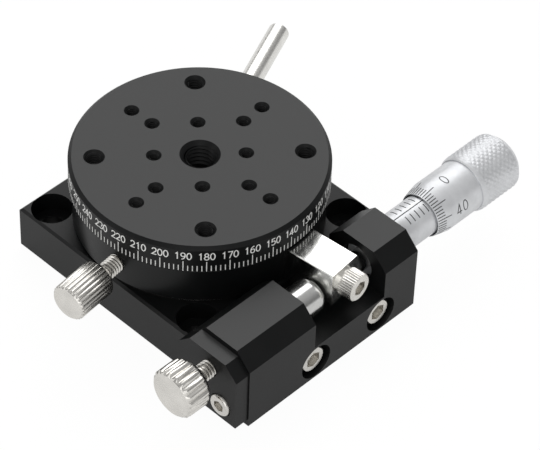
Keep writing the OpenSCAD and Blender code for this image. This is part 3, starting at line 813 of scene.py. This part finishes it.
def makeBlock(user):
    # the CAD block with its plunger bore opened to fit
    bm = nodeCopy("side_block")
    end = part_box("side_block")[0].y + user["length"]
    inner, outer = user["between"]
    for v in bm.verts:
        flat = Vector((v.co.x - driveX, v.co.z - driveZ))
        if v.co.y < end and inner < flat.length < outer:
            flat *= user["radius"] / flat.length
            v.co.x, v.co.z = driveX + flat.x, driveZ + flat.y
    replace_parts(finishPiece("boredBlock", bm, "base", "blockBody"), "side_block")


def islandsOf(bm):
    left, groups = set(bm.verts), []
    for first in bm.verts:           # in order, so that each run gives the same groups
        if first not in left:
            continue
        left.remove(first)
        stack, group = [first], []
        while stack:
            v = stack.pop()
            group.append(v)
            fresh = {e.other_vert(v) for e in v.link_edges} & left
            left -= fresh
            stack.extend(fresh)
        groups.append(group)
    return groups


leverTilt = math.radians(5.5)    # how far the lever's screw is turned from +X
screwSet = {
    "blockScrews": {
        "node": "side_block_screws", "body": "base", "out": (1, 0, 0), "ridges": 0,
        "head": 2.3 * mm, "tall": 2.5 * mm, "shank": 1.25 * mm, "across": 2.5 * mm, "deep": 1.2 * mm,
    },
    "plateScrews": {
        "node": "end_plate_screws", "body": "base", "out": (0, -1, 0), "ridges": 0,
        "head": 1.88 * mm, "tall": 2.0 * mm, "shank": 1.0 * mm, "across": 1.75 * mm, "deep": 1.0 * mm,
    },
    "leverScrew": {
        "node": "lever_screw", "body": "ring", "out": (math.cos(leverTilt), math.sin(leverTilt), 0),
        "ridges": 36,
        "head": 2.32 * mm, "tall": 2.5 * mm, "shank": 1.25 * mm, "across": 2.2 * mm, "deep": 1.3 * mm,
    },
}


def capScrewOutline(tip, face, user):
    head, shank, deep = user["head"], user["shank"], user["deep"]
    under = face - user["tall"]
    sixth = math.radians(60)

    def hexagon(turn):
        return user["across"] / 2 / math.cos((turn + sixth / 2) % sixth - sixth / 2)

    side = fluted(head, 0.13 * mm, user["ridges"], 1.0) if user["ridges"] else head
    return [(tip, shank * 0.8), (tip + 0.2 * mm, shank), (under, shank), (under, head * 0.95),
            (under + 0.1 * mm, side), (face - 0.3 * mm, side), (face - 0.1 * mm, head - 0.1 * mm),
            (face, head - 0.25 * mm), (face, hexagon), (face - deep, hexagon),
            (face - deep - 0.3 * mm, 0.1 * mm)]


def makeCapScrews(name, user):
    # socket screws where the CAD ones are, with wider hexagons and, on the lever's, straight knurling
    out = Vector(user["out"])
    bm = bmesh.new()
    source = nodeCopy(user["node"])
    for group in islandsOf(source):
        heights = [v.co.dot(out) for v in group]
        corners = [Vector(f(v.co[i] for v in group) for i in range(3)) for f in (min, max)]
        middle = (corners[0] + corners[1]) / 2
        if user["body"] == "ring":
            middle = Vector((0, 0, middle.z))    # its axis passes through the ring's
        centre = middle - out * middle.dot(out)
        outline = capScrewOutline(min(heights), max(heights), user)
        joinInto(bm, turnedSkin(outline, 216 if user["ridges"] else 72, axisFrame(centre, out)))
    source.free()
    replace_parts(finishPiece(name, bm, user["body"], "nickel", 30), user["node"])


makePlunger(plungerSet)
makeBlock(boreSet)
makeStem(stemSet)
for name, user in screwSet.items():
    makeCapScrews(name, user)
print("plunger and cap screws made")


# threads in the table's holes

holeSet = {
    "turn": 48.5,                # degrees that the pattern is turned
    "holes": (                   # place in the pattern, root radius, pitch, depth, plain mouth: in mm
        (0, 0, 2.5, 0.8, 4.4, 0.7),
        (16, 0, 1.25, 0.5, 4.5, 0.35),
        (10, 10, 0.8, 0.4, 4.0, 0.35),
        (7, 0, 0.8, 0.4, 4.0, 0.35),
        (7, 7, 0.8, 0.4, 4.0, 0.35),
    ),
    "sunk": 0.02 * mm,           # into the hole's wall
    "height": 0.4,               # of the thread, in pitches
    "lining": 0.03 * mm,
}


def makeHoleThreads(user):
    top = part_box("table")[1].z
    bm = bmesh.new()
    for hole in user["holes"]:
        x, y, root, pitch, deep, mouth = (size * mm for size in hole)
        for quarter in range(4 if x else 1):
            turn = math.radians(user["turn"] + 90 * quarter)
            place = (Matrix.Translation((0, 0, top)) @ Matrix.Rotation(turn, 4, "Z")
                     @ Matrix.Translation((x, y, 0)))
            coil = bmesh.new()
            threadStrip(coil, place, -deep, -mouth, root + user["sunk"], root - user["height"] * pitch,
                        pitch, steps=20, wall=user["lining"])
            joinInto(bm, coil)
    finishPiece("holeThreads", bm, "table", "anodised", 40)


makeHoleThreads(holeSet)
print("holes threaded")


# studio

studioSet = {
    "floor": (0.80, 0.80, 0.79),
    "floorSize": 1.5,
    "white": 1.03,
    "glow": 0.93,                # share of the floor that the camera sees as plain white
    "shine": 0.55,               # and that metal sees so
    "horizon": 0.18,
    "zenith": 0.6,
    "target": (5.0 * mm, 3.0 * mm, 10.0 * mm),   # what the lamps are aimed at
}


def seenShare(tree, user):
    # how much of the plain white each kind of ray meets
    seen = tree.nodes.new("ShaderNodeLightPath").outputs
    glossy = maths(tree, "MAXIMUM", seen["Is Glossy Ray"], seen["Is Transmission Ray"])
    dimmed = maths(tree, "MULTIPLY", glossy, user["shine"])
    return maths(tree, "MULTIPLY_ADD", seen["Is Camera Ray"], user["glow"], dimmed)


def blendShaders(tree, share, first, second, output):
    blend = tree.nodes.new("ShaderNodeMixShader")
    for socket, source in zip(blend.inputs, (share, first.outputs[0], second.outputs[0])):
        tree.links.new(source, socket)
    tree.links.new(blend.outputs[0], tree.nodes[output].inputs["Surface"])


def makeFloor(user):
    material, tree, shader = newMaterial("paleFloor")
    lighter = tuple(c * 1.02 for c in user["floor"])
    tone = ramp(tree, grain(tree, 50.0 * mm), [(0.3, user["floor"]), (0.7, lighter)])
    tree.links.new(tone, shader.inputs["Base Color"])
    shader.inputs["Roughness"].default_value = 0.6
    white = addNode(tree, "ShaderNodeEmission", Strength=user["white"], Color=(1, 1, 1, 1))
    blendShaders(tree, seenShare(tree, user), shader, white, "Material Output")
    bm = bmesh.new()
    bmesh.ops.create_grid(bm, x_segments=4, y_segments=4, size=user["floorSize"])
    mesh = bpy.data.meshes.new("floor")
    bm.to_mesh(mesh)
    bm.free()
    mesh.materials.append(material)
    floor = bpy.data.objects.new("floor", mesh)
    bpy.context.scene.collection.objects.link(floor)


def makeWorld(user):
    world = bpy.data.worlds.new("studio")
    world.use_nodes = True
    bpy.context.scene.world = world
    tree = world.node_tree
    sky = tree.nodes["Background"]
    place = tree.nodes.new("ShaderNodeTexCoord")
    parts = tree.nodes.new("ShaderNodeSeparateXYZ")
    tree.links.new(place.outputs["Generated"], parts.inputs[0])
    shade = ramp(tree, parts.outputs["Z"],
                 [(0.0, 1.0), (0.08, 0.9), (0.22, user["horizon"]), (0.9, user["zenith"])])
    tree.links.new(shade, sky.inputs["Color"])
    white = addNode(tree, "ShaderNodeBackground", Strength=1.0, Color=(1, 1, 1, 1))
    seen = tree.nodes.new("ShaderNodeLightPath").outputs
    blendShaders(tree, seen["Is Camera Ray"], sky, white, "World Output")


# direction from the target, width, height and radiance of each soft box
lampSet = {
    "overheadBox": ((-0.49, 0.50, 0.71), 0.75, 0.75, 1.9),
    "leftBox": ((-0.55, -0.75, 0.35), 0.4, 0.5, 1.0),
    "rightBox": ((0.95, 0.15, 0.30), 0.25, 0.5, 0.5),
    "frontBox": ((0.60, -0.66, 0.45), 0.6, 0.6, 1.3),
}
lampDistance = 0.9


def makeLamp(name, direction, width, height, radiance):
    data = bpy.data.lights.new(name, "AREA")
    data.shape = "RECTANGLE"
    data.size, data.size_y = width, height
    data.energy = radiance * math.pi * width * height
    lamp = bpy.data.objects.new(name, data)
    way = Vector(direction).normalized()
    place = Vector(studioSet["target"]) + way * lampDistance
    lamp.matrix_world = Matrix.Translation(place) @ way.to_track_quat("Z", "Y").to_matrix().to_4x4()
    bpy.context.scene.collection.objects.link(lamp)


makeFloor(studioSet)
makeWorld(studioSet)
for name, values in lampSet.items():
    makeLamp(name, *values)
print("studio lit")

bpy.context.scene.view_settings.view_transform = "Standard"
